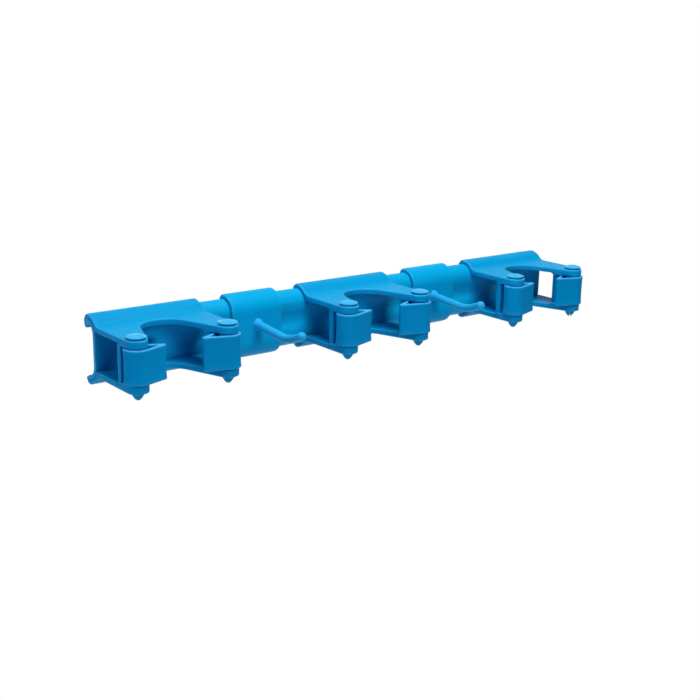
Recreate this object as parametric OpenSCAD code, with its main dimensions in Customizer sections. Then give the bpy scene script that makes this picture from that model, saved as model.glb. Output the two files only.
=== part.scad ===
// Wall rack for cleaning tools: a half round rail, with three handle clips and two hooks that snap over it.
// The wall plane is y = 0, the front faces -Y, the rail runs along X and z = 0 is its middle height.

/* [Rail] */
// length of the rail
rail_l = 420; // [380:1:600]
// height of the rail
rail_h = 41.6; // [40:0.1:56]
// radius of the rounded long edges of the rail
rail_corner_r = 10; // [8:0.5:14]
// wall of the rail
rail_wall = 3; // [2:0.1:4]
// diameter of the round bead along the upper back edge
bead_d = 5.4; // [4.5:0.1:7]
// diameter of the rounded lower back edge
foot_d = 3.4; // [3.2:0.1:5]

/* [Wall screws] */
// diameter of a screw hole
screw_hole_d = 5.5; // [3.5:0.1:6.5]
// how far the countersink is wider than the hole, on each side
sink_out = 2.75; // [1.5:0.05:3.5]
// depth of the countersink
sink_depth = 3; // [2:0.1:4]
// wall of the pillar round the countersink
pillar_wall = 2; // [1.5:0.1:3]

/* [Snap fit] */
// gap between the rail and what is snapped on it
snap_gap = 0.3; // [0.2:0.05:0.5]
// wall of the part that wraps the rail
wrap_wall = 2.9; // [2:0.1:3.5]
// how far the upper lip turns round the bead, in degrees
lip_turn = 145; // [90:1:150]
// how far the lower lip turns round the rail's lower edge, in degrees
toe_turn = 70; // [45:1:90]
// gap between the upper lip and the wall plane
wall_gap = 0.5; // [0.3:0.1:3]

/* [Clip] */
// distance between the two pins of a clip
pin_spacing = 67.5; // [64:0.1:80]
// wall plane to the line of the pins
pin_reach = 59.9; // [58:0.1:76]
// radius of the rounded arm ends
arm_end_r = 7.45; // [6.5:0.05:9]
// thickness of a clip plate
plate_t = 4.2; // [3:0.1:5]
// clear height between the two plates
mouth_h = 26.8; // [25.5:0.1:30]
// how much thicker each plate is on its inner face, in front of the ribs
pad_h = 1.2; // [0.8:0.1:1.8]
// radius of the round back of the handle notch
notch_r = 18; // [14:0.5:20]
// width of the plate between the notch and the wrap
notch_web = 2.5; // [1.5:0.1:6]
// fillet between the plate and the wrap
crease_r = 8; // [4:0.5:12]
// thickness of the rib behind a grip
rib_t = 4.6; // [3:0.1:6]
// gap between the rib and the round part of the grip
rib_gap = 1.2; // [1:0.1:3]
// how far the rib's outer end stays inside the plate's edge
rib_inset = 0.85; // [0:0.05:3]
// how far the rib runs inward from the pin axis
rib_in = 8; // [5:0.1:9]

/* [Pin] */
// diameter of the pin shaft
pin_d = 6; // [5:0.1:7]
// radial clearance of the pin in the plates
pin_fit = 0.05; // [0.03:0.01:0.1]
// diameter of the pin head
head_d = 14; // [10:0.1:14.5]
// height of the rim of the head
head_rim = 1.5; // [1:0.1:2.2]
// how far the rim draws in towards the plate
head_ease = 0.6; // [0.3:0.05:0.9]
// height of the dome on the head
head_dome = 1.7; // [0.8:0.1:2.2]
// how far the barb under the lower plate stands out from the shaft
barb_out = 1.2; // [0.5:0.1:1.5]
// length of the rounded tip under the barb
tip_l = 5.8; // [4:0.1:7]
// diameter of the blunt point
point_d = 2.4; // [1.5:0.1:3]
// width of the slot that splits the tip
slot_w = 1.4; // [0.8:0.1:2]
// depth of the slot from the point
slot_l = 13; // [8:0.5:16]

/* [Grip] */
// gap between a grip and the arm ends above and below it
grip_gap = 0.5; // [0.3:0.1:1.5]
// diameter of the round part of a grip
grip_d = 17; // [15:0.1:18]
// pin axis to the end of the pointed tip
grip_reach = 20; // [18:0.1:22]
// diameter of the rounded end of the tip
grip_tip_d = 2.6; // [2:0.1:4]
// thickness of the two strands
strand_t = 2; // [1.5:0.1:2.5]
// length of the solid rubber at the tip
tip_solid = 6.2; // [4:0.1:8]
// wall of the hub round the pin
hub_wall = 2.6; // [1.5:0.1:3]
// radial clearance of the hub on the pin
grip_fit = 0.08; // [0.05:0.01:0.1]
// height of the rim along the upper and lower edge
rim_h = 1.1; // [0.6:0.1:2]
// how far the rim stands out
rim_out = 0.5; // [0.2:0.05:0.6]
// how far the tip turns to the front, in degrees
grip_turn = 4; // [0:1:20]

/* [Hook] */
// length of the sleeve along the rail
sleeve_l = 42; // [30:0.5:60]
// diameter of the peg
peg_d = 6; // [5:0.1:8]
// height of the peg's root above the middle of the rail
peg_z = 1.6; // [0:0.1:3]
// length of the straight part of the peg
peg_straight = 32; // [20:0.5:45]
// how far the straight part slopes down, in degrees
peg_slope = 3.5; // [0:0.5:6]
// bend radius of the peg's outer part
peg_bend_r = 60; // [40:1:90]
// how far the outer part bends up, in degrees
peg_bend = 24; // [10:1:40]
// how far the ball that ends the peg stands out
ball_out = 0.3; // [0.2:0.05:1.5]
// how far the flare at the root stands out
flare_out = 2.2; // [1:0.1:3]
// length of the flare
flare_l = 4.5; // [3:0.1:8]

/* [Hidden] */
$fn = 96;
// overrun of cuts past a face
over = 1;
// how far a flat face stays inside the round that it runs into
blend = 0.05;
// how far a lip reaches back into the band that it ends
lip_lap = 0.4;
// how far the bend of a peg reaches back into its straight part, in degrees
bend_lap = 1.5;
// the rail's two back edges, upper first, and the turn of the lip round each
edge_r = [bead_d / 2, foot_d / 2];
edge_turn = [lip_turn, toe_turn];
wrap_out = snap_gap + wrap_wall;
// middle of the rounded sides of the rail, and of its back edges: the upper lip clears the wall plane
corner_y = -wall_gap - edge_r[0] - wrap_out;
corner_z = rail_h / 2 - rail_corner_r;
rail_depth = rail_corner_r - corner_y;
// screw holes
sink_d = screw_hole_d + 2 * sink_out;
pillar_d = sink_d + 2 * pillar_wall;
// clip levels and half sizes
plate_low = mouth_h / 2;
plate_top = plate_low + plate_t;
pad_low = plate_low - pad_h;
pin_x = pin_spacing / 2;
clip_w = pin_spacing + 2 * arm_end_r - 2 * blend;
clip_pitch = (rail_l - clip_w) / 2;
clip_top = rail_h / 2 + wrap_out;
clip_front = pin_reach + arm_end_r;
// fillet of the crease
crease_hub = rail_corner_r + wrap_out + crease_r;
crease_z = plate_top + crease_r;
crease_y = corner_y - sqrt(pow(crease_hub, 2) - pow(crease_z - corner_z, 2));
crease_share = (rail_corner_r + wrap_out) / crease_hub;
// the notch's round back, and the line that touches it and the arm end
notch_reach = rail_depth + wrap_out + notch_web + notch_r;
notch_gap_y = pin_reach - notch_reach;
notch_far = sqrt(pow(pin_x, 2) + pow(notch_gap_y, 2));
arm_in = arm_end_r - blend;
notch_in = notch_r - blend;
notch_lean = atan2(notch_gap_y, pin_x) + asin((notch_in + arm_in) / notch_far);
arm_touch = [-pin_x + arm_in * sin(notch_lean), -pin_reach - arm_in * cos(notch_lean)];
back_touch = [-notch_in * sin(notch_lean), -notch_reach + notch_in * cos(notch_lean)];
// rib behind a grip
rib_front = grip_d / 2 + rib_gap;
rib_out = arm_end_r - rib_inset;
rib_mid = -pin_reach + rib_front + rib_t / 2;
// pin
pin_r = pin_d / 2;
head_r = head_d / 2;
dome_r = (pow(head_r, 2) + pow(head_dome, 2)) / (2 * head_dome);
dome_angle = asin(head_r / dome_r);
round_steps = 8;
barb_r = pin_r + barb_out;
barb_z = plate_top + pin_fit;
point_z = barb_z + tip_l;
// grip
grip_h = 2 * (pad_low - grip_gap);
hub_d = pin_d + 2 * grip_fit + 2 * hub_wall;
grip_r = grip_d / 2;
grip_tip_r = grip_tip_d / 2;
grip_far = grip_reach - grip_tip_r;
grip_lean = asin((grip_r - grip_tip_r) / grip_far);
window_x = hub_d / 2 * cos(grip_lean);
window_end = grip_reach - tip_solid;
window_r = grip_r - strand_t;
// the peg, which starts inside the sleeve's front wall
peg_y = -rail_depth - snap_gap;
peg_ball_d = peg_d + 2 * ball_out;
flare_d = peg_d + 2 * flare_out;
// places along the rail
hook_x = clip_pitch / 2;
screw_x = clip_pitch;

// The half round outline of the rail, grown by a distance: flat front, two rounded long edges.
module half_round(grow = 0) {
    reach = rail_corner_r + grow;
    tall = rail_h + 2 * grow + 2 * over;
    translate([corner_y, 0]) intersection() {
        union() {
            for (side = [-1, 1]) translate([0, side * corner_z]) circle(r = reach);
            translate([-reach, -corner_z]) square([reach, 2 * corner_z]);
        }
        translate([-reach - over, -tall / 2]) square([reach + over, tall]);
    }
}

// The band that follows the rail, with a snap gap between them.
module wrap_band() {
    difference() {
        half_round(wrap_out);
        half_round(snap_gap);
    }
}

// The lip that ends the band, drawn at the top: it turns round a back edge of the rail and has a round end.
module wrap_lip(side) {
    turn = edge_turn[side];
    lip_mid_r = edge_r[side] + snap_gap + wrap_wall / 2;
    translate([corner_y, rail_h / 2 - edge_r[side]]) {
        intersection() {
            difference() {
                circle(r = edge_r[side] + wrap_out - blend);
                circle(r = edge_r[side] + snap_gap + blend);
            }
            polygon([[0, 0], [-lip_lap, 0], [-lip_lap, rail_h], [rail_h * sin(turn), rail_h * cos(turn)]]);
        }
        translate([lip_mid_r * sin(turn), lip_mid_r * cos(turn)]) circle(d = wrap_wall);
    }
}

// Turns a section drawn in (y, z) into a bar along X, centred on x = 0.
module along_x(length) {
    rotate([90, 0, 90]) translate([0, 0, -length / 2]) linear_extrude(height = length) children();
}

// Rail: a thin half round channel, open to the wall, with rounded back edges and two screw pillars.
module rail() {
    color([0.02, 0.47, 0.72]) difference() {
        union() {
            along_x(rail_l) {
                difference() {
                    half_round();
                    half_round(-rail_wall);
                }
                for (side = [0, 1]) mirror([0, side])
                    translate([corner_y, rail_h / 2 - edge_r[side]]) circle(r = edge_r[side]);
            }
            for (side = [-1, 1])
                translate([side * screw_x, 0, 0]) rotate([90, 0, 0])
                    cylinder(d = pillar_d, h = rail_depth - rail_wall / 2);
        }
        for (side = [-1, 1])
            translate([side * screw_x, over, 0]) rotate([90, 0, 0]) {
                cylinder(d = screw_hole_d, h = rail_depth + 2 * over);
                translate([0, 0, rail_depth + over - sink_depth])
                    cylinder(d1 = screw_hole_d, d2 = sink_d, h = sink_depth);
                translate([0, 0, rail_depth + over]) cylinder(d = sink_d, h = over);
            }
    }
}

// Side view of half a clip, drawn at the top: lip, wrap, fillet and plate, kept off the rail by the snap gap.
// The plate is thicker in front of the ribs, where it holds the pins.
module clip_side(side) {
    difference() {
        union() {
            intersection() {
                union() {
                    half_round(wrap_out);
                    difference() {
                        polygon([
                            [crease_y, plate_top],
                            [corner_y + (crease_y - corner_y) * crease_share,
                             corner_z + (crease_z - corner_z) * crease_share],
                            [corner_y - rail_corner_r / 2, corner_z],
                            [crease_y, plate_low]
                        ]);
                        translate([crease_y, crease_z]) circle(r = crease_r + blend);
                    }
                }
                translate([-clip_front, plate_low]) square([clip_front + over, clip_top]);
            }
            translate([-clip_front - over, plate_low])
                square([clip_front + over + corner_y - rail_corner_r / 2, plate_t]);
            translate([-clip_front - 2 * over, pad_low])
                square([clip_front + 2 * over + rib_mid, pad_h + plate_t / 2]);
        }
        half_round(snap_gap);
    }
    wrap_lip(side);
}

// Top view of a clip: straight sides, round arm ends, and a notch with a round back for the handle.
module clip_plan() {
    difference() {
        union() {
            polygon([
                [-clip_w / 2, over], [-clip_w / 2, -pin_reach], [-pin_x, -pin_reach], arm_touch, back_touch,
                [0, -notch_reach], [-back_touch[0], back_touch[1]], [-arm_touch[0], arm_touch[1]],
                [pin_x, -pin_reach], [clip_w / 2, -pin_reach], [clip_w / 2, over]
            ]);
            for (side = [-1, 1]) translate([side * pin_x, -pin_reach]) circle(r = arm_end_r);
        }
        translate([0, -notch_reach]) circle(r = notch_r);
        for (side = [-1, 1]) translate([side * pin_x, -pin_reach]) circle(r = pin_r + pin_fit);
    }
}

// Clip: an upper and a lower plate that snap over the rail, with a rib between them behind each grip.
module clip() {
    color([0.02, 0.50, 0.76]) {
        for (side = [0, 1]) mirror([0, 0, side])
            intersection() {
                along_x(clip_w + 2 * over) clip_side(side);
                linear_extrude(height = clip_top + over) clip_plan();
            }
        for (side = [0, 1]) mirror([side, 0, 0])
            translate([-pin_x - rib_out, -pin_reach + rib_front, -plate_low])
                cube([rib_out + rib_in, rib_t, mouth_h]);
    }
}

// Pin: a domed head, a shaft through both plates and the grip, and a split barbed tip.
module pin() {
    color([0.03, 0.53, 0.80]) difference() {
        union() {
            translate([0, 0, plate_top]) rotate_extrude() polygon(concat(
                [[0, 0], [head_r - head_ease, 0], [head_r, head_rim]],
                [for (step = [1:round_steps]) dome_point(dome_angle * (1 - step / round_steps))]
            ));
            translate([0, 0, -barb_z - over]) cylinder(r = pin_r, h = barb_z + over + plate_top + head_rim);
            translate([0, 0, -point_z]) rotate_extrude() polygon(concat(
                [[0, 0]], [for (step = [0:round_steps]) tip_point(step / round_steps)], [[0, tip_l]]
            ));
        }
        translate([-slot_w / 2, -2 * barb_r, -point_z - over]) cube([slot_w, 4 * barb_r, slot_l + over]);
    }
}

// Point of the dome's outline at an angle from the pin axis.
function dome_point(angle) = [dome_r * sin(angle), head_rim + head_dome - dome_r * (1 - cos(angle))];

// Point of the rounded tip's outline at a share of its length from the point.
function tip_point(share) = [point_d / 2 + (barb_r - point_d / 2) * sin(90 * share), tip_l * share];

// Outline of a grip: round at the pin, tapering to a rounded tip on the +X side.
module teardrop(grow = 0) {
    round_in = grip_r + grow - blend;
    tip_in = grip_tip_r + grow - blend;
    circle(r = grip_r + grow);
    translate([grip_far, 0]) circle(r = grip_tip_r + grow);
    polygon([
        [round_in * sin(grip_lean), round_in * cos(grip_lean)],
        [grip_far + tip_in * sin(grip_lean), tip_in * cos(grip_lean)], [grip_far, 0],
        [grip_far + tip_in * sin(grip_lean), -tip_in * cos(grip_lean)],
        [round_in * sin(grip_lean), -round_in * cos(grip_lean)], [0, 0]
    ]);
}

// Half width of the window between the strands at a distance from the pin axis.
function window_half(x) = (window_r - x * sin(grip_lean)) / cos(grip_lean);

// Grip: a rubber loop that turns on its pin, hollow between its strands and solid at its tip.
module grip() {
    color([0.02, 0.42, 0.66]) rotate([0, 0, -grip_turn]) difference() {
        union() {
            translate([0, 0, -grip_h / 2]) linear_extrude(height = grip_h) teardrop();
            for (low = [-grip_h / 2, grip_h / 2 - rim_h])
                translate([0, 0, low]) linear_extrude(height = rim_h) teardrop(rim_out);
        }
        translate([0, 0, -grip_h / 2 - over]) {
            cylinder(r = pin_r + grip_fit, h = grip_h + 2 * over);
            linear_extrude(height = grip_h + 2 * over) difference() {
                polygon([
                    [window_x, window_half(window_x)], [window_end, window_half(window_end)],
                    [window_end, -window_half(window_end)], [window_x, -window_half(window_x)]
                ]);
                circle(d = hub_d);
            }
        }
    }
}

// Hook: a sleeve that snaps over the rail, with one peg that dips a little and then bends up.
module hook() {
    color([0.02, 0.52, 0.79]) {
        along_x(sleeve_l) {
            wrap_band();
            for (side = [0, 1]) mirror([0, side]) wrap_lip(side);
        }
        translate([0, peg_y, peg_z]) rotate([peg_slope, 0, 0]) {
            rotate([90, 0, 0]) rotate_extrude() polygon([
                [0, wrap_wall / 2], [flare_d / 2, wrap_wall / 2], [flare_d / 2, wrap_wall],
                [peg_d / 2, wrap_wall + flare_l], [peg_d / 2, peg_straight], [0, peg_straight]
            ]);
            translate([0, -peg_straight, peg_bend_r]) rotate([0, 90, 180]) rotate([0, 0, -bend_lap])
                rotate_extrude(angle = peg_bend + bend_lap)
                    translate([peg_bend_r, 0]) circle(r = peg_d / 2 - blend);
            translate([0, -peg_straight - peg_bend_r * sin(peg_bend), peg_bend_r * (1 - cos(peg_bend))])
                sphere(d = peg_ball_d);
        }
    }
}

// Places of the pieces.
module clip_left() { translate([-clip_pitch, 0, 0]) clip(); }
module clip_middle() { clip(); }
module clip_right() { translate([clip_pitch, 0, 0]) clip(); }
module at_pin(clip_no, side) { translate([clip_no * clip_pitch + side * pin_x, -pin_reach, 0]) children(); }
module clip_left_pin_a() { at_pin(-1, -1) pin(); }
module clip_left_pin_b() { at_pin(-1, 1) pin(); }
module clip_middle_pin_a() { at_pin(0, -1) pin(); }
module clip_middle_pin_b() { at_pin(0, 1) pin(); }
module clip_right_pin_a() { at_pin(1, -1) pin(); }
module clip_right_pin_b() { at_pin(1, 1) pin(); }
module clip_left_grip_a() { at_pin(-1, -1) grip(); }
module clip_left_grip_b() { at_pin(-1, 1) mirror([1, 0, 0]) grip(); }
module clip_middle_grip_a() { at_pin(0, -1) grip(); }
module clip_middle_grip_b() { at_pin(0, 1) mirror([1, 0, 0]) grip(); }
module clip_right_grip_a() { at_pin(1, -1) grip(); }
module clip_right_grip_b() { at_pin(1, 1) mirror([1, 0, 0]) grip(); }
module hook_left() { translate([-hook_x, 0, 0]) hook(); }
module hook_right() { translate([hook_x, 0, 0]) hook(); }

rail();
clip_left();
clip_left_pin_a();
clip_left_pin_b();
clip_left_grip_a();
clip_left_grip_b();
clip_middle();
clip_middle_pin_a();
clip_middle_pin_b();
clip_middle_grip_a();
clip_middle_grip_b();
clip_right();
clip_right_pin_a();
clip_right_pin_b();
clip_right_grip_a();
clip_right_grip_b();
hook_left();
hook_right();
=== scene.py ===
import bmesh
import bpy
import numpy as np
from mathutils import Matrix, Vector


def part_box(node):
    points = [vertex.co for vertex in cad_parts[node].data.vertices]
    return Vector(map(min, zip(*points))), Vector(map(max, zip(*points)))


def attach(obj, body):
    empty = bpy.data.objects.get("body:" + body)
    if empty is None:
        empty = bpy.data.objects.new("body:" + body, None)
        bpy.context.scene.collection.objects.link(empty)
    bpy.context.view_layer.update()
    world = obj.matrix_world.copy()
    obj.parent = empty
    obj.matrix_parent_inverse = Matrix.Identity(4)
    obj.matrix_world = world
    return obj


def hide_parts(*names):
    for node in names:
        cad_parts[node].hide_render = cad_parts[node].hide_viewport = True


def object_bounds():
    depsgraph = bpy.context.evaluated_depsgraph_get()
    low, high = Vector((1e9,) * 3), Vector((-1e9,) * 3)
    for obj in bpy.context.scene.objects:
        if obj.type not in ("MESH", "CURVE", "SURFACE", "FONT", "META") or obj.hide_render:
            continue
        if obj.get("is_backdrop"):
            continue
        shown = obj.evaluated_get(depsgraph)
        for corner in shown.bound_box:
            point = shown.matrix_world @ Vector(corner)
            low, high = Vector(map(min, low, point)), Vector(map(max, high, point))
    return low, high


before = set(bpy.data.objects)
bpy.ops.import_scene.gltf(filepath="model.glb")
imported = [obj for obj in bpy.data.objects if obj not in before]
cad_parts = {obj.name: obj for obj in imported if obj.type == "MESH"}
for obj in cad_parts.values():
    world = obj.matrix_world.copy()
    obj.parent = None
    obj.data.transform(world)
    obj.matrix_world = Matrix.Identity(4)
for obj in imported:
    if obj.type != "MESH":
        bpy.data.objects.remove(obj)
cad_low, cad_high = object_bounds()

# Rail: one long half round channel of blue polypropylene, screwed to the wall through two sunk holes.
# Its upper back edge is a round bead, and its lower wall leaves the round early and flares out to the wall.
# The plastic is satin, with a fine moulded grain and faint scuffs along its length.
rail_corner_r = 0.010
rail_corner_z = 0.0108
rail_edge_y = -0.0064
flare = np.radians(22)
sharp_edge = np.radians(30)
weld_gap = 1e-6
rail_blue = (0.0, 0.290, 0.610)
rail_blue_pale = (0.0, 0.350, 0.710)
rail_gloss = 0.05
rail_stretch = (0.06, 1, 1)
plastic_roughness = 0.45
plastic_grain = 0.00012
# What all the mouldings share: the patterns' scales in features a metre, their shares of the colour, and how
# much they change the roughness.
cloud_scale = 45
grain_scale = 2600
scuff_scale = 700
patch_scale = 260
scuff_from = 0.60
scuff_full = 0.78
scuff_depth = 0.3
cloud_share = 0.6
grain_share = 0.2
scuff_share = 0.2
cloud_dull = 0.10
scuff_shine = 0.08
# The rim values make rims paler and smoother: partly rubbed edges, partly a painted highlight on rounded
# edges, pin heads and pegs.
rim_wear_and_highlight_shine = 0.10
rim_wear_and_highlight_least = 0.4
rim_wear_and_highlight_gain = 1.15
rim_wear_and_highlight_white = 0.05
bump_strength = 0.35


class Wire:
    """One value in a material, the output of a node: arithmetic on it adds Math nodes."""

    def __init__(self, tree, output=None):
        self.tree = tree
        self.output = output

    def node(self, kind, settings=None, sockets=None, output=0):
        """Adds a node of a type, sets its settings, then its sockets, and returns one of its outputs."""
        made = self.tree.nodes.new(kind)
        for name, value in (settings or {}).items():
            setattr(made, name, value)
        for key, value in (sockets or {}).items():
            if isinstance(value, Wire):
                self.tree.links.new(value.output, made.inputs[key])
            else:
                made.inputs[key].default_value = value
        return Wire(self.tree, made.outputs[output] if made.outputs else None)

    def math(self, operation, first, second):
        """Adds a Math node of two values, which are numbers or wires."""
        return self.node("ShaderNodeMath", {"operation": operation}, {0: first, 1: second})

    def __add__(self, other):
        return self.math("ADD", self, other)

    def __sub__(self, other):
        return self.math("SUBTRACT", self, other)

    def __rsub__(self, other):
        return self.math("SUBTRACT", other, self)

    def __mul__(self, other):
        return self.math("MULTIPLY", self, other)

    __radd__ = __add__
    __rmul__ = __mul__


def noise(wire, place, scale, detail):
    """Smooth noise of about 0 to 1 at a place, with scale features in a metre."""
    return wire.node("ShaderNodeTexNoise", {}, {"Vector": place, "Scale": scale, "Detail": detail}, "Fac")


def tinted(wire, share, first, second):
    """The colour between two colours at a share; the first can be the output of a node."""
    start = first if isinstance(first, Wire) else (*first, 1)
    return wire.node("ShaderNodeMix", {"data_type": "RGBA"}, {"Factor": share, 6: start, 7: (*second, 1)}, 2)


def moulded(name, deep, pale, gloss, roughness, grain_depth, stretch=(1, 1, 1)):
    """Moulded plastic or rubber: clouds of two near colours, a fine grain, scuffs, and paler rims, partly
    rubbed and partly a painted highlight.

    The clouds, grain and scuffs, added up in shares, go from the deep to the pale colour. The mesh's rim
    value, times patches, goes on from there to a still paler one: partly rubbed edges, partly a painted
    highlight where the top light falls on rounded edges, pin heads and pegs.
    """
    material = bpy.data.materials.new(name)
    material.use_nodes = True
    tree = material.node_tree
    tree.nodes.clear()
    wire = Wire(tree)
    place = wire.node("ShaderNodeTexCoord", output="Object")
    clouds = noise(wire, place, cloud_scale, 2)
    grain = noise(wire, place, grain_scale, 3)
    drawn_out = wire.node("ShaderNodeMapping", {}, {"Vector": place, "Scale": stretch})
    streaks = noise(wire, drawn_out, scuff_scale, 4)
    scuffs = wire.node("ShaderNodeMapRange", {"interpolation_type": "SMOOTHSTEP"},
                       {"Value": streaks, "From Min": scuff_from, "From Max": scuff_full})
    patches = noise(wire, place, patch_scale, 3)
    rim = wire.node("ShaderNodeAttribute", {"attribute_name": "rim"}, output="Fac")
    # Painted highlight and rubbing: the rim value, mottled by patches, turns the colour paler.
    rim_wear_and_highlight = rim * (patches + rim_wear_and_highlight_least)
    body = tinted(wire, clouds * cloud_share + grain * grain_share + scuffs * scuff_share, deep, pale)
    rim_wear_and_highlight_pale = [rim_wear_and_highlight_gain * part + rim_wear_and_highlight_white for part in pale]
    bump = wire.node("ShaderNodeBump", {}, {"Strength": bump_strength, "Distance": grain_depth,
                                            "Height": grain - scuffs * scuff_depth}, "Normal")
    surface = wire.node("ShaderNodeBsdfPrincipled", {}, {
        "Base Color": tinted(wire, rim_wear_and_highlight, body, rim_wear_and_highlight_pale),
        "Roughness": roughness + (clouds - 0.5) * cloud_dull - scuffs * scuff_shine - rim_wear_and_highlight * rim_wear_and_highlight_shine,
        "Normal": bump, "Specular IOR Level": gloss})
    wire.node("ShaderNodeOutputMaterial", {}, {"Surface": surface})
    return material


def dress(piece, material):
    """Gives a piece one material on all its faces."""
    piece.data.materials.clear()
    piece.data.materials.append(material)


def bearing(angle):
    """Direction in the side view, as y + i z, at an angle from straight up towards the wall."""
    return np.sin(angle) + 1j * np.cos(angle)


def flared_rail(solid):
    """A copy of the rail's mesh whose lower round is straight past the flare's bearing.

    A point at radius r and bearing a past the flare goes to radius r at the flare's bearing, plus a step of
    the long edge's radius times the angle left over, along the tangent.
    """
    mesh = solid.data.copy()
    shell = bmesh.new()
    shell.from_mesh(mesh)
    bmesh.ops.remove_doubles(shell, verts=shell.verts, dist=weld_gap)
    shell.to_mesh(mesh)
    shell.free()
    points = np.empty(3 * len(mesh.vertices), np.float32)
    mesh.vertices.foreach_get("co", points)
    points = points.reshape(-1, 3)
    corner = rail_edge_y + 1j * rail_corner_z
    arm = points[:, 1] - 1j * points[:, 2] - corner
    behind = arm.real > 0
    angle = np.where(behind, 0, np.arctan2(arm.real, arm.imag))
    radius = np.where(behind, arm.imag, np.abs(arm))
    step = rail_corner_r * (angle + flare) + np.where(behind, arm.real, 0)
    tangent = np.exp(1j * flare)
    spot = corner + radius * bearing(-flare) + step * tangent
    moved = (arm.imag > 0) & (step > 0)
    points[moved, 1] = spot.real[moved]
    points[moved, 2] = -spot.imag[moved]
    mesh.vertices.foreach_set("co", points.ravel())
    mesh.shade_smooth()
    mesh.set_sharp_from_angle(angle=sharp_edge)
    return mesh


rail_piece = bpy.data.objects.new("wall_rail", flared_rail(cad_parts["rail"]))
bpy.context.scene.collection.objects.link(rail_piece)
dress(rail_piece, moulded("rail plastic", rail_blue, rail_blue_pale, rail_gloss,
                          plastic_roughness, plastic_grain, rail_stretch))
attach(rail_piece, "rail_body")
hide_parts("rail")

# Clips: each is one moulding of blue polypropylene, an upper and a lower plate joined by two ribs.
# The back of each plate bends over the rail and ends in a lip, and the front has a wide round notch.
# The clip is pressed over the rail from the front until its lips catch, and slides along it.
# The rail's upper and lower back edge, and how far a clip's lips turn round them.
bead_r = 0.0027
foot_r = 0.0017
lip_turn = np.radians(145)
toe_turn = np.radians(115)
snap_gap = 0.0003
wrap_wall = 0.0029
# The plates, with a pad against the grips on each inner face, then their outline, bores and ribs.
plate_low = 0.0134
plate_top = 0.0176
pad_h = 0.0012
pad_from = 0.0474
pad_run = 0.0010
crease_r = 0.008
clip_half = 0.04115
clip_corner_r = 0.0016
arm_r = 0.0074
arm_root = 0.022
pin_x = 0.03375
pin_reach = 0.0599
bore_r = 0.00305
bore_run = 0.007
notch_r = 0.018
notch_reach = 0.0401
rib_out = 0.0066
rib_in = 0.008
rib_near = 0.0097
rib_t = 0.0046
rib_corner_r = 0.0008
rib_fillet = 0.0016
rib_sunk = 0.0004
outer_round = 0.0011
inner_round = 0.0006
# How many steps the curves have, along the edges and across the plates.
round_steps = 5
quarter = np.linspace(0, np.pi / 2, round_steps + 1)
edge_in = 1 - np.cos(quarter)
edge_down = 1 - np.sin(quarter)
lip_steps = 60
wall_steps = 10
band_steps = 40
front_steps = 80
tip_steps = 12
bore_from = 5
bore_side_steps = 7
arm_steps = 30
side_steps = 44
corner_steps = 6
back_steps = 24
cross_steps = 18
fillet_steps = 6
rib_side_steps = 10
notch_split = np.radians(232)
clip_blue = (0.0, 0.240, 0.540)
clip_blue_pale = (0.0, 0.290, 0.635)
clip_gloss = 0.04
# Share of the painted highlight, with some rubbing, along the plates' rounded edges.
plate_wear_and_highlight = 0.5


def lip_curve(edge_r, turn, off, lean):
    """A lip's curve, y + i z, at a distance off the rail's round back edge, from the lip's end forwards.

    It is an arc round that edge, then a straight stretch along a wall that leans out by an angle.
    """
    side = rail_edge_y + 1j * rail_corner_z + rail_corner_r * bearing(-lean)
    straight_l = rail_corner_r * lean * np.exp(1j * lean)
    centre = side + straight_l - edge_r * bearing(-lean)
    around = centre + (edge_r + off) * bearing(np.linspace(turn, 0, lip_steps) - lean)
    return np.concatenate([around, around[-1] - straight_l * np.linspace(0, 1, wall_steps + 2)[1:-1]])


def plate_section(edge_r, turn, lean):
    """Side view of half a clip: the outer and inner curve, y + i z, against the distance to the front.

    A lip goes round the rail's back edge, an arc round its long side, a hollow fillet down to the plate, and
    the plate straight to the front, thicker on its inner face past the ribs. The distance is measured along
    the outer curve, and is -y on the plate.
    """
    corner = rail_edge_y + 1j * rail_corner_z
    inner_r = rail_corner_r + snap_gap
    outer_r = inner_r + wrap_wall
    fall = np.arccos((plate_top + crease_r - corner.imag) / (outer_r + crease_r))
    crease = corner + (outer_r + crease_r) * bearing(-fall)
    root = np.arccos((plate_low - corner.imag) / inner_r)
    band = -np.linspace(lean, fall, band_steps)
    fillet = np.linspace(fall, 0, band_steps)
    front = -np.linspace(-crease.real, pin_reach + arm_r, front_steps)
    rise = np.clip((-front - pad_from) / pad_run, 0, 1)
    pad = plate_low - pad_h * rise ** 2 * (3 - 2 * rise)
    under = corner + inner_r * bearing(-np.linspace(fall, root, band_steps // 2))
    flat = np.linspace(under[-1].real, crease.real, band_steps // 2) + 1j * plate_low
    outer = np.concatenate([
        lip_curve(edge_r, turn, snap_gap + wrap_wall, lean), corner + outer_r * bearing(band),
        crease - crease_r * bearing(-fillet), front + 1j * plate_top])
    inner = np.concatenate([
        lip_curve(edge_r, turn, snap_gap, lean), corner + inner_r * bearing(band),
        under, flat, front + 1j * pad])
    along = np.concatenate([[0], np.cumsum(np.abs(np.diff(outer)))])
    return along - along[-1] + pin_reach + arm_r, outer, inner


def bent(section, plan, drop, above):
    """Points of a sheet bent to a section, where plan is x + i distance.

    The drop is each point's depth in the sheet, from its outer face if above, or else from its inner face.
    """
    outer = np.interp(plan.imag, section[0], section[1])
    inner = np.interp(plan.imag, section[0], section[2])
    share = drop / np.abs(outer - inner)
    spot = inner + (outer - inner) * (1 - share if above else share)
    return np.stack([plan.real, spot.real, spot.imag], -1)


def arc(centre, radius, start, stop, count, side):
    """Points of an arc in the plan, without its start, and normals, away from its centre where side is 1."""
    ray = np.exp(1j * np.linspace(start, stop, count + 1)[1:])
    return np.stack([centre + radius * ray, side * ray])


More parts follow.
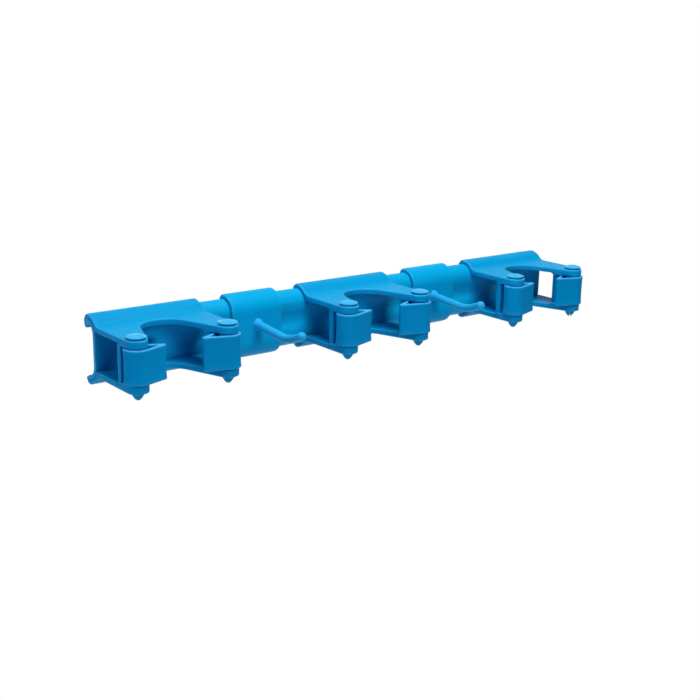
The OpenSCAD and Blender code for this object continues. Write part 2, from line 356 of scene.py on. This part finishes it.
def straight(start, stop, count, normal):
    """Points of a straight edge in the plan, without its start, and their normals."""
    return np.stack([np.linspace(start, stop, count + 1)[1:], np.full(count, normal)])


def grid_faces(rows, columns, closed_rows, closed_columns):
    """Quads of a grid of points, as an array of rows and columns of faces, closed on itself where asked."""
    row = np.arange(rows if closed_rows else rows - 1)[:, None]
    column = np.arange(columns if closed_columns else columns - 1)[None]
    next_row = (row + 1) % rows
    next_column = (column + 1) % columns
    corners = [row * columns + column, row * columns + next_column,
               next_row * columns + next_column, next_row * columns + column]
    return np.stack(np.broadcast_arrays(*corners), -1)


def edge_wear_and_highlight(share):
    """Rubbing and painted highlight of a rounded edge, most half way round it where the top light catches it:
    sin 2a, where the edge drops by the share 1 - sin a.
    """
    return 2 * (1 - share) * np.sqrt(1 - (1 - share) ** 2)


def rounded_plate(section):
    """Half a clip: a sheet in the shape of a U, rounded along all its edges, with a bore in each arm.

    A column runs across the sheet from its outer to its inner edge, over the top and back under it, and the
    columns run from one arm's tip round the notch to the other. Over the rounding, the sheet's face drops by
    r (1 - sin a) at r (1 - cos a) from the edge.
    """
    pin = -pin_x + 1j * pin_reach
    notch = 1j * notch_reach
    touch = np.angle(notch - pin) + np.arccos((arm_r + notch_r) / np.abs(notch - pin))
    ray = np.exp(1j * touch)
    line = pin + arm_r * ray
    line_end = notch - notch_r * ray
    line_bore = line - 1j * ray * bore_run
    lip_end = section[0][0]
    side = -clip_half
    corner = side + clip_corner_r + 1j * (lip_end + clip_corner_r)
    tip = np.array([[pin + 1j * arm_r], [-1j]])
    outer = np.concatenate([
        tip, arc(pin, arm_r, np.pi / 2, np.pi, tip_steps, -1),
        straight(side + 1j * pin_reach, side + 1j * (pin_reach - bore_run), bore_side_steps, 1),
        straight(side + 1j * (pin_reach - bore_run), side + 1j * arm_root, arm_steps, 1),
        straight(side + 1j * arm_root, side + 1j * corner.imag, side_steps, 1),
        arc(corner, clip_corner_r, np.pi, 1.5 * np.pi, corner_steps, -1),
        straight(corner.real + 1j * lip_end, 1j * lip_end, back_steps, 1j)], 1)
    inner = np.concatenate([
        tip, arc(pin, arm_r, np.pi / 2, touch, tip_steps, -1),
        straight(line, line_bore, bore_side_steps, -ray),
        straight(line_bore, line_end, arm_steps, -ray),
        arc(notch, notch_r, touch + np.pi, notch_split, side_steps + corner_steps, 1),
        arc(notch, notch_r, notch_split, 1.5 * np.pi, back_steps, 1)], 1)
    bore_to = tip_steps + bore_side_steps
    bore = bore_r * np.exp(1j * np.linspace(0, np.pi, bore_to - bore_from + 1))
    step = np.linspace(0, 1, cross_steps + 1)[:, None]
    share = np.concatenate([edge_down, np.zeros(2 * cross_steps), edge_down[::-1]])[:, None]
    sheets = []
    for round_r, above in ((outer_round, True), (inner_round, False)):
        outer_in = outer[0] + round_r * outer[1]
        inner_in = inner[0] + round_r * inner[1]
        middle = (outer_in + inner_in) / 2
        middle[:bore_from] = pin + 1j * np.linspace(arm_r - round_r, bore_r, bore_from + 1)[:-1]
        middle_out = middle.copy()
        middle_in = middle.copy()
        middle_out[bore_from:bore_to + 1] = pin + 1j * bore
        middle_in[bore_from:bore_to + 1] = pin + 1j * bore.conj()
        half = np.concatenate([outer[0] + round_r * edge_in[:, None] * outer[1],
                               outer_in + step[1:] * (middle_out - outer_in),
                               middle_in + step[:-1] * (inner_in - middle_in),
                               inner[0] + round_r * edge_in[::-1, None] * inner[1]])
        plan = np.concatenate([half, -half[:, ::-1].conj()], 1)
        sheets.append(bent(section, plan, round_r * share, above))
    points = np.concatenate([sheets[0], sheets[1][::-1]])
    rows, columns = points.shape[:2]
    faces = grid_faces(rows, columns, True, False)
    bored = np.r_[bore_from:bore_to, columns - bore_to - 1:columns - bore_from - 1]
    seam = round_steps + cross_steps
    keep = np.ones(faces.shape[:2], bool)
    keep[seam, bored] = False
    keep[rows - 2 - seam, bored] = False
    walls = []
    for row in (seam, seam + 1):
        upper = row * columns + bored
        lower = (rows - 1 - row) * columns + bored
        walls.append(np.stack([upper, upper + 1, lower + 1, lower], -1))
    # Painted highlight along the rounded edges, partly rubbing.
    rim = plate_wear_and_highlight * np.repeat(edge_wear_and_highlight(np.concatenate([share, share[::-1]])), columns)
    return points.reshape(-1, 3), np.concatenate([faces[keep], *walls]), rim


def rounded_bar(low, high, corner_r, fillet):
    """An upright bar between two corners, of rounded rectangular section.

    At a distance d from either end it is wider by f - sqrt(f^2 - (f - d)^2), where f is the fillet's radius.
    """
    centre = (low + high) / 2
    reach = (high - low) / 2
    turn = (np.arange(4 * rib_side_steps) + 0.5) * np.pi / (2 * rib_side_steps)
    ray = np.stack([np.cos(turn), np.sin(turn)], -1)
    outline = np.sign(ray) * (reach[:2] - corner_r) + corner_r * ray
    gap = np.linspace(0, fillet, fillet_steps + 1)
    widen = fillet - np.sqrt(fillet ** 2 - (fillet - gap) ** 2)
    rings = outline + widen[:, None, None] * ray
    rings = np.concatenate([0 * rings[:1], rings, rings[::-1], 0 * rings[:1]])
    level = np.concatenate([[-reach[2]], gap - reach[2], reach[2] - gap[::-1], [reach[2]]])
    upright = np.broadcast_to(level[:, None, None], rings.shape[:2] + (1,))
    points = np.concatenate([rings, upright], -1) + centre
    faces = grid_faces(*rings.shape[:2], False, True)
    return points.reshape(-1, 3), faces.reshape(-1, 4), np.zeros(rings.size // 2)


def make_piece(name, parts, place, material):
    """One object of some parts, each of points, faces and rim values for rubbing and painted highlight, set
    at a place, welded and smooth.
    """
    starts = np.cumsum([0] + [len(points) for points, _, _ in parts[:-1]])
    mesh = bpy.data.meshes.new(name)
    mesh.from_pydata(np.concatenate([points for points, _, _ in parts]) + place, [],
                     np.concatenate([faces + start for (_, faces, _), start in zip(parts, starts)]))
    mesh.attributes.new("rim", "FLOAT", "POINT").data.foreach_set(
        "value", np.concatenate([rim for _, _, rim in parts]).astype(np.float32))
    shell = bmesh.new()
    shell.from_mesh(mesh)
    bmesh.ops.remove_doubles(shell, verts=shell.verts, dist=weld_gap)
    bmesh.ops.recalc_face_normals(shell, faces=shell.faces)
    shell.to_mesh(mesh)
    shell.free()
    mesh.shade_smooth()
    piece = bpy.data.objects.new(name, mesh)
    bpy.context.scene.collection.objects.link(piece)
    dress(piece, material)
    return piece


def mirrored(part, factors):
    """A part with its points multiplied along x, y and z."""
    points, faces, rim = part
    return points * factors, faces, rim


clip_material = moulded("clip plastic", clip_blue, clip_blue_pale, clip_gloss,
                        plastic_roughness, plastic_grain)
upper_plate = rounded_plate(plate_section(bead_r, lip_turn, 0))
lower_plate = mirrored(rounded_plate(plate_section(foot_r, toe_turn, flare)), (1, 1, -1))
rib = rounded_bar(np.array([-pin_x - rib_out, -pin_reach + rib_near, -plate_low - rib_sunk]),
                  np.array([-pin_x + rib_in, -pin_reach + rib_near + rib_t, plate_low + rib_sunk]),
                  rib_corner_r, rib_fillet)
clip_places = {}
for side in ("left", "middle", "right"):
    low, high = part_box("clip_" + side)
    clip_places[side] = np.array([(low.x + high.x) / 2, 0, 0])
    clip = make_piece(side + "_clip", [upper_plate, lower_plate, rib, mirrored(rib, (-1, 1, 1))],
                      clip_places[side], clip_material)
    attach(clip, "clip_" + side + "_body")
    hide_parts("clip_" + side)

# Pins: a domed head, a shaft through both plates and the grip, and a split barbed tip under the lower plate.
# They are moulded in the same blue polypropylene, and pressed in from above until the barb springs out.
# The heads are painted paler, a painted highlight from the lamp above, and a pin can be turned before it is
# pressed in, so the slots point different ways.
pin_r = 0.003
head_r = 0.0067
head_rim = 0.0018
head_dome = 0.0014
head_ease = 0.0013
head_round = 0.0004
head_round_from = np.radians(64)
head_round_to = np.radians(-22)
head_round_steps = 8
dome_steps = 13
pin_sides = 64
barb_r = 0.0046
barb_z = -0.01765
tip_l = 0.0053
barb_steps = 15
barb_sides = 48
slot_half = 0.0007
slot_turn = np.radians(52)
last_slot_turn = np.radians(-35)
slot_top = -0.01045
pin_blue = (0.0, 0.240, 0.515)
pin_blue_pale = (0.0, 0.300, 0.585)
pin_gloss = 0.05
pin_roughness = 0.40
pin_grain = 0.00008
# Painted highlight: the rim value on the heads, which makes them paler.
head_highlight = 0.8


def turned(outline, count):
    """A turned surface: an outline of radius and height, as r + i z, carried round the upright axis."""
    ring = outline.real[:, None] * np.exp(1j * np.linspace(0, 2 * np.pi, count + 1)[:-1])
    points = np.stack([ring.real, ring.imag, np.broadcast_to(outline.imag[:, None], ring.shape)], -1)
    faces = grid_faces(len(outline), count, False, True)
    return points.reshape(-1, 3), faces.reshape(-1, 4), np.zeros(ring.size)


def prong(outline, count, turn):
    """Half of a split tip: a turned surface cut off at the slot, and then turned about the upright axis.

    Each ring becomes a round with one flat: x stays outside half the slot, and y inside the chord there.
    """
    points, faces, rim = turned(outline, count)
    chord = np.sqrt(np.maximum(np.repeat(outline.real, count) ** 2 - slot_half ** 2, 0))
    spot = np.maximum(points[:, 0], slot_half) + 1j * np.clip(points[:, 1], -chord, chord)
    spot = spot * np.exp(1j * turn)
    return np.stack([spot.real, spot.imag, points[:, 2]], -1), faces, rim


spread = np.linspace(0, 1, dome_steps + 1)[:-1]
head_turn = np.linspace(head_round_from, head_round_to, head_round_steps + 1)
head_edge = (head_r - head_round + 1j * (plate_top + head_rim - head_round)
             + head_round * np.exp(1j * head_turn))
dome_h = plate_top + head_rim + head_dome - head_edge[0].imag
top_points, top_faces, _ = turned(np.concatenate([
    head_edge[0].real * spread + 1j * (head_edge[0].imag + dome_h * (1 - spread ** 2)), head_edge,
    np.array([head_r - head_ease + 1j * plate_top, pin_r + 1j * plate_top, pin_r + 1j * slot_top,
              1j * slot_top])]), pin_sides)
pin_top = (top_points, top_faces, np.where(top_points[:, 2] > plate_top, head_highlight, 0.0))
tip_r = np.linspace(barb_r, slot_half, barb_steps + 1)
tip_outline = np.concatenate([
    np.array([1j * slot_top, pin_r + 1j * slot_top, pin_r + 1j * barb_z]),
    tip_r + 1j * (barb_z - tip_l * (1 - (tip_r / barb_r) ** 2))])
pin_material = moulded("pin plastic", pin_blue, pin_blue_pale, pin_gloss, pin_roughness, pin_grain)
for side, place in clip_places.items():
    both_pins = []
    for at in (-pin_x, pin_x):
        turn = last_slot_turn if side == "right" and at > 0 else slot_turn
        prongs = [prong(tip_outline, barb_sides, way) for way in (turn, turn + np.pi)]
        for points, faces, rim in (pin_top, *prongs):
            both_pins.append((points + (at, -pin_reach, 0), faces, rim))
    pins = make_piece(side + "_clip_pins", both_pins, place, pin_material)
    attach(pins, "clip_" + side + "_body")
    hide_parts("clip_" + side + "_pin_a", "clip_" + side + "_pin_b")

# Grips: soft blue rubber loops that turn on the pins, and close on what is pushed in between two of them.
# Each is a teardrop, hollow between two strands, with a thick hub on the pin and a slight flare at both rims.
grip_r = 0.0085
grip_far = 0.0187
grip_tip_r = 0.0013
grip_half = 0.0117
grip_flare = 0.0005
grip_round = 0.0009
grip_turn = np.radians(4)
hub_bore_r = 0.00308
hub_r = 0.00568
hub_half = 0.0114
hub_round = 0.0004
hub_lap = 0.0002
window_line = 0.0065
window_from = 0.0035
window_far = 0.0127
window_r = 0.0011
loop_steps = 60
strand_steps = 30
point_steps = 16
hub_steps = 72
grip_wall_steps = 24
grip_blue = (0.0, 0.230, 0.540)
grip_blue_pale = (0.0, 0.275, 0.630)
grip_gloss = 0.03
grip_roughness = 0.55
grip_grain = 0.00010
# Grip rims are painted paler towards top and bottom: partly rubbing, partly a painted highlight on the lit
# rim.
rim_power = 20


def ringed(outer, inner, outer_wall, inner_wall):
    """A loop between two outlines in the plan: each wall is a column of offset and height, as o + i z.

    It is paler towards its rims, with a high power of the height: partly rubbing, partly a painted highlight
    on the lit rim lines.
    """
    ring = np.concatenate([outer[0] + outer_wall.real[:, None] * outer[1],
                           inner[0] + inner_wall.real[:, None] * inner[1]])
    level = np.concatenate([outer_wall.imag, inner_wall.imag])[:, None]
    points = np.stack([ring.real, ring.imag, np.broadcast_to(level, ring.shape)], -1)
    rim = np.repeat(np.abs(level) / np.abs(level).max(), ring.shape[1]) ** rim_power
    return points.reshape(-1, 3), grid_faces(*ring.shape, True, True).reshape(-1, 4), rim


def rim_wall(half, bulge, round_r):
    """A wall from its lower to its upper edge, as offset and height, o + i z, with rounded edges.

    It stands out by the bulge times the fourth power of the height's share of the half height.
    """
    level = np.linspace(round_r - half, half - round_r, grip_wall_steps + 1)
    swell = bulge * (level / half) ** 4
    end = swell[-1] - round_r * edge_in[1:] + 1j * (half - round_r * edge_down[1:])
    return np.concatenate([end[::-1].conj(), swell + 1j * level, end])


strand_lean = np.arccos((grip_r - grip_tip_r) / grip_far)
strand_ray = np.exp(1j * strand_lean)
strand_end = grip_far + grip_tip_r * strand_ray
window_end = window_far + window_r * strand_ray
window_start = strand_ray * (window_line - 1j * window_from)
grip_outline = np.concatenate([
    arc(0, grip_r, strand_lean, 2 * np.pi - strand_lean, loop_steps, 1),
    straight(grip_r * strand_ray.conj(), strand_end.conj(), strand_steps, strand_ray.conj()),
    arc(grip_far, grip_tip_r, -strand_lean, strand_lean, point_steps, 1),
    straight(strand_end, grip_r * strand_ray, strand_steps, strand_ray)], 1)
grip_hollow = np.concatenate([
    arc(0, hub_r - hub_lap, strand_lean, 2 * np.pi - strand_lean, loop_steps, -1),
    straight(window_start.conj(), window_end.conj(), strand_steps, -strand_ray.conj()),
    arc(window_far, window_r, -strand_lean, strand_lean, point_steps, -1),
    straight(window_end, window_start, strand_steps, -strand_ray)], 1)
grip_band = ringed(grip_outline, grip_hollow, rim_wall(grip_half, grip_flare, grip_round),
                   rim_wall(grip_half, 0, grip_round)[::-1])
grip_hub = ringed(arc(0, hub_r, 0, 2 * np.pi, hub_steps, 1), arc(0, hub_bore_r, 0, 2 * np.pi, hub_steps, -1),
                  rim_wall(hub_half, 0, hub_round), rim_wall(hub_half, 0, hub_round)[::-1])
grip_material = moulded("grip rubber", grip_blue, grip_blue_pale, grip_gloss, grip_roughness, grip_grain)
for side, place in clip_places.items():
    for letter, hand in (("a", 1), ("b", -1)):
        parts = []
        for points, faces, rim in (grip_band, grip_hub):
            swung = (points[:, 0] + 1j * points[:, 1]) * np.exp(-1j * grip_turn)
            spot = np.stack([hand * (swung.real - pin_x), swung.imag - pin_reach, points[:, 2]], -1)
            parts.append((spot, faces, rim))
        node = "clip_" + side + "_grip_" + letter
        grip = make_piece(side + "_clip_grip_" + letter, parts, place, grip_material)
        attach(grip, node + "_body")
        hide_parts(node)

# Hooks: a short sleeve that snaps over the rail like a clip, with one round peg on its front.
# Peg and sleeve are one moulding: the peg dips a little, bends up, and swells into a rounded end.
sleeve_half = 0.021
sleeve_corner_r = 0.0016
sleeve_round = 0.0011
sleeve_steps = 149
sleeve_front_steps = 19
sleeve_cross_steps = 10
peg_r = 0.003
peg_z = 0.0020
peg_straight = 0.033
peg_slope = np.radians(5.3)
peg_bend_r = 0.0355
peg_bend = np.radians(26)
peg_end = 0.0085
ball_r = 0.0033
neck_l = 0.004
root_out = 0.0016
root_l = 0.0036
root_steps = 23
peg_straight_steps = 13
peg_bend_steps = 29
peg_end_steps = 15
ball_steps = 15
peg_sides = 40
hook_blue = (0.0, 0.290, 0.620)
hook_blue_pale = (0.0, 0.350, 0.720)
hook_gloss = 0.04
# Share of the painted highlight, with some rubbing, on the sleeve's rounded edges and ends.
sleeve_wear_and_highlight = 0.3
# Painted highlight: an even rim value along the whole peg, which makes it paler.
peg_highlight = 0.3


def sleeve_section():
    """Side view of a sleeve: lip, arc, flat front, arc and lip.

    It is an outer and an inner curve, y + i z, against the length along the outer one.
    """
    corner = rail_edge_y + 1j * rail_corner_z
    curves = []
    for off in (snap_gap + wrap_wall, snap_gap):
        upper = corner + (rail_corner_r + off) * bearing(-np.linspace(0, np.pi / 2, band_steps))
        lower = (corner + (rail_corner_r + off) * bearing(-np.linspace(np.pi / 2, flare, band_steps))).conj()
        front = np.linspace(upper[-1], lower[0], sleeve_front_steps + 1)[1:-1]
        curves.append(np.concatenate([
            lip_curve(bead_r, lip_turn, off, 0), upper, front, lower,
            lip_curve(foot_r, toe_turn, off, flare).conj()[::-1]]))
    return np.concatenate([[0], np.cumsum(np.abs(np.diff(curves[0])))]), curves[0], curves[1]


def rounded_sleeve(section):
    """A sleeve: flat rings across x, carried along the bent section, with rounded edges, ends and corners.

    At a distance d from an end the face is lower by r - sqrt(r^2 - (r - d)^2), with the rounding's radius r,
    and each end of the ring is shorter by the same rule, with the corner's radius.
    """
    total = section[0][-1]
    inset = sleeve_round * edge_in
    along = np.concatenate([
        [0], inset, np.linspace(sleeve_round, total - sleeve_round, sleeve_steps + 1)[1:-1],
        total - inset[::-1], [total]])
    near = np.minimum(along, total - along)
    short = np.maximum(sleeve_corner_r - near, 0)
    reach = sleeve_half - sleeve_corner_r + np.sqrt(sleeve_corner_r ** 2 - short ** 2)
    sink = sleeve_round - np.sqrt(sleeve_round ** 2 - np.maximum(sleeve_round - near, 0) ** 2)
    across = np.concatenate([
        inset / sleeve_half - 1, np.linspace(-1, 1, sleeve_cross_steps + 2)[1:-1],
        1 - inset[::-1] / sleeve_half])
    side_drop = sleeve_round * np.concatenate([edge_down, np.zeros(sleeve_cross_steps), edge_down[::-1]])
    plan = reach[:, None] * across + 1j * along[:, None]
    drop = np.maximum(sink[:, None], side_drop)
    drop[[0, -1]] = wrap_wall / 2
    points = np.concatenate([bent(section, plan, drop, True), bent(section, plan, drop, False)[:, ::-1]], 1)
    # Painted highlight along the sleeve's rounded edges, partly rubbing.
    rim = sleeve_wear_and_highlight * edge_wear_and_highlight(np.minimum(np.concatenate([drop, drop[:, ::-1]], 1) / sleeve_round, 1))
    return points.reshape(-1, 3), grid_faces(*rim.shape, False, True).reshape(-1, 4), rim.ravel()


def tapered_rod(path, radius, count, painted_highlight):
    """A round rod with an even painted highlight: circles of a radius, square to a path y + i z in the plane
    x = 0.
    """
    ahead = np.gradient(path)
    turn = np.linspace(0, 2 * np.pi, count + 1)[:-1]
    spot = path[:, None] + radius[:, None] * np.sin(turn) * (1j * ahead / np.abs(ahead))[:, None]
    points = np.stack([radius[:, None] * np.cos(turn), spot.real, spot.imag], -1)
    faces = grid_faces(*spot.shape, False, True)
    return points.reshape(-1, 3), faces.reshape(-1, 4), np.full(spot.size, painted_highlight)


run = np.concatenate([np.linspace(wrap_wall / 2, wrap_wall + root_l, root_steps + 1),
                      np.linspace(wrap_wall + root_l, peg_straight, peg_straight_steps + 1)[1:-1]])
bend_turn = np.linspace(0, peg_bend, peg_bend_steps + 1)
bend = peg_straight + peg_bend_r * np.sin(bend_turn) + 1j * peg_bend_r * (1 - np.cos(bend_turn))
end_run = np.linspace(0, peg_end, peg_end_steps + 1)[1:]
swell = np.clip(1 - (peg_end - end_run) / neck_l, 0, 1)
end_width = peg_r + (ball_r - peg_r) * swell ** 2 * (3 - 2 * swell)
ball_turn = np.linspace(0, np.pi / 2, ball_steps + 1)[1:]
outer_run = np.concatenate([end_run, peg_end + ball_r * np.sin(ball_turn)])
root_r = peg_r + root_out * np.clip(1 - (run - wrap_wall) / root_l, 0, 1) ** 2
peg_path = np.concatenate([run[:1] - snap_gap, run, bend, bend[-1] + outer_run * np.exp(1j * peg_bend)])
peg_width = np.concatenate([[0], root_r, np.full(len(bend), peg_r), end_width, ball_r * np.cos(ball_turn)])
peg_root = rail_edge_y - rail_corner_r - snap_gap + 1j * peg_z
peg = tapered_rod(peg_root - (peg_path * np.exp(-1j * peg_slope)).conj(), peg_width, peg_sides, peg_highlight)
sleeve = rounded_sleeve(sleeve_section())
hook_material = moulded("hook plastic", hook_blue, hook_blue_pale, hook_gloss,
                        plastic_roughness, plastic_grain)
for side in ("left", "right"):
    low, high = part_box("hook_" + side)
    hook = make_piece(side + "_hook", [sleeve, peg], np.array([(low.x + high.x) / 2, 0, 0]), hook_material)
    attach(hook, "hook_" + side + "_body")
    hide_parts("hook_" + side)

# Studio: a wide pale floor under the rack and white all round, as the camera sees it.
# Broad soft lamps hang over the rack, in front of it and behind it, and weaker, cooler ones fill the shadows.
floor_z = cad_low.z - 0.55
floor_half = 6.0
floor_colour = (0.9, 0.9, 0.9, 1)
room_colour = (0.85, 0.93, 1.0, 1)
room_strength = 0.05
lamp_size = 0.6
rack_middle = (cad_low + cad_high) / 2


def camera_white(tree, surface):
    """White for the rays that see it directly, in gloss or through glass, and a surface for the rest."""
    wire = Wire(tree)
    rays = [wire.node("ShaderNodeLightPath", output=kind)
            for kind in ("Is Camera Ray", "Is Glossy Ray", "Is Transmission Ray")]
    seen = wire.math("MAXIMUM", wire.math("MAXIMUM", rays[0], rays[1]), rays[2])
    white = wire.node("ShaderNodeEmission", {}, {"Color": (1, 1, 1, 1), "Strength": 1.0})
    return wire.node("ShaderNodeMixShader", {}, {0: seen, 1: surface, 2: white})


floor_mesh = bpy.data.meshes.new("floor")
floor_corners = [(-floor_half, -floor_half, floor_z), (floor_half, -floor_half, floor_z),
                 (floor_half, floor_half, floor_z), (-floor_half, floor_half, floor_z)]
floor_mesh.from_pydata(floor_corners, [], [(0, 1, 2, 3)])
floor = bpy.data.objects.new("floor", floor_mesh)
bpy.context.scene.collection.objects.link(floor)
floor_material = bpy.data.materials.new("pale floor")
floor_material.use_nodes = True
floor_tree = floor_material.node_tree
floor_tree.nodes.clear()
floor_wire = Wire(floor_tree)
floor_pale = floor_wire.node("ShaderNodeBsdfDiffuse", {}, {"Color": floor_colour})
floor_wire.node("ShaderNodeOutputMaterial", {}, {"Surface": camera_white(floor_tree, floor_pale)})
dress(floor, floor_material)
floor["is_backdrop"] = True

world = bpy.data.worlds.new("studio")
bpy.context.scene.world = world
world.use_nodes = True
world.node_tree.nodes.clear()
world_wire = Wire(world.node_tree)
room_light = world_wire.node("ShaderNodeBackground", {}, {"Color": room_colour, "Strength": room_strength})
world_wire.node("ShaderNodeOutputWorld", {}, {"Surface": camera_white(world.node_tree, room_light)})


def soft_lamp(name, place, power, colour):
    """A square lamp at a place, measured from the middle of the rack, that faces the rack."""
    lamp = bpy.data.lights.new(name, "AREA")
    lamp.shape = "SQUARE"
    lamp.size = lamp_size
    lamp.energy = power
    lamp.color = colour
    holder = bpy.data.objects.new(name, lamp)
    bpy.context.scene.collection.objects.link(holder)
    holder.location = [middle + off for middle, off in zip(rack_middle, place)]
    holder.rotation_mode = "QUATERNION"
    holder.rotation_quaternion = (rack_middle - holder.location).to_track_quat("-Z", "Y")


soft_lamp("top lamp", (0.0, -0.1, 1.0), 10.8, (1.0, 0.98, 0.84))
soft_lamp("front lamp", (-0.1, -0.7, 0.8), 5.8, (1.0, 0.99, 0.95))
soft_lamp("left lamp", (-1.0, 0.2, 0.3), 3.8, (0.80, 0.88, 1.0))
soft_lamp("low lamp", (-0.3, -0.9, -0.3), 1.7, (0.60, 0.75, 1.0))
soft_lamp("back lamp", (0.1, 1.0, -0.15), 5.0, (1.0, 0.98, 0.92))

# Camera: it looks down at the rack from the front left, held by hand and so rolled a little.
# Its yaw turns from +Y towards +X, its pitch is down, and its roll tips the right side up.
camera_place = (-0.5394, -0.7046, 0.2096)
camera_yaw = np.radians(38.22)
camera_pitch = np.radians(15.39)
camera_roll = np.radians(1.04)
camera_data = bpy.data.cameras.new("camera")
camera_data.lens = 60.63
camera_data.sensor_width = 36.0
camera_data.clip_start = 0.01
camera = bpy.data.objects.new("camera", camera_data)
bpy.context.scene.collection.objects.link(camera)
bpy.context.scene.camera = camera
forward = np.array([np.sin(camera_yaw) * np.cos(camera_pitch), np.cos(camera_yaw) * np.cos(camera_pitch),
                    -np.sin(camera_pitch)])
level = np.array([np.cos(camera_yaw), -np.sin(camera_yaw), 0.0])
upright = np.cross(level, forward)
right = level * np.cos(camera_roll) + upright * np.sin(camera_roll)
up = upright * np.cos(camera_roll) - level * np.sin(camera_roll)
camera.matrix_world = Matrix.Translation(camera_place) @ Matrix(np.stack([right, up, -forward], 1)).to_4x4()

bpy.context.scene.view_settings.view_transform = "Standard"
low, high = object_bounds()
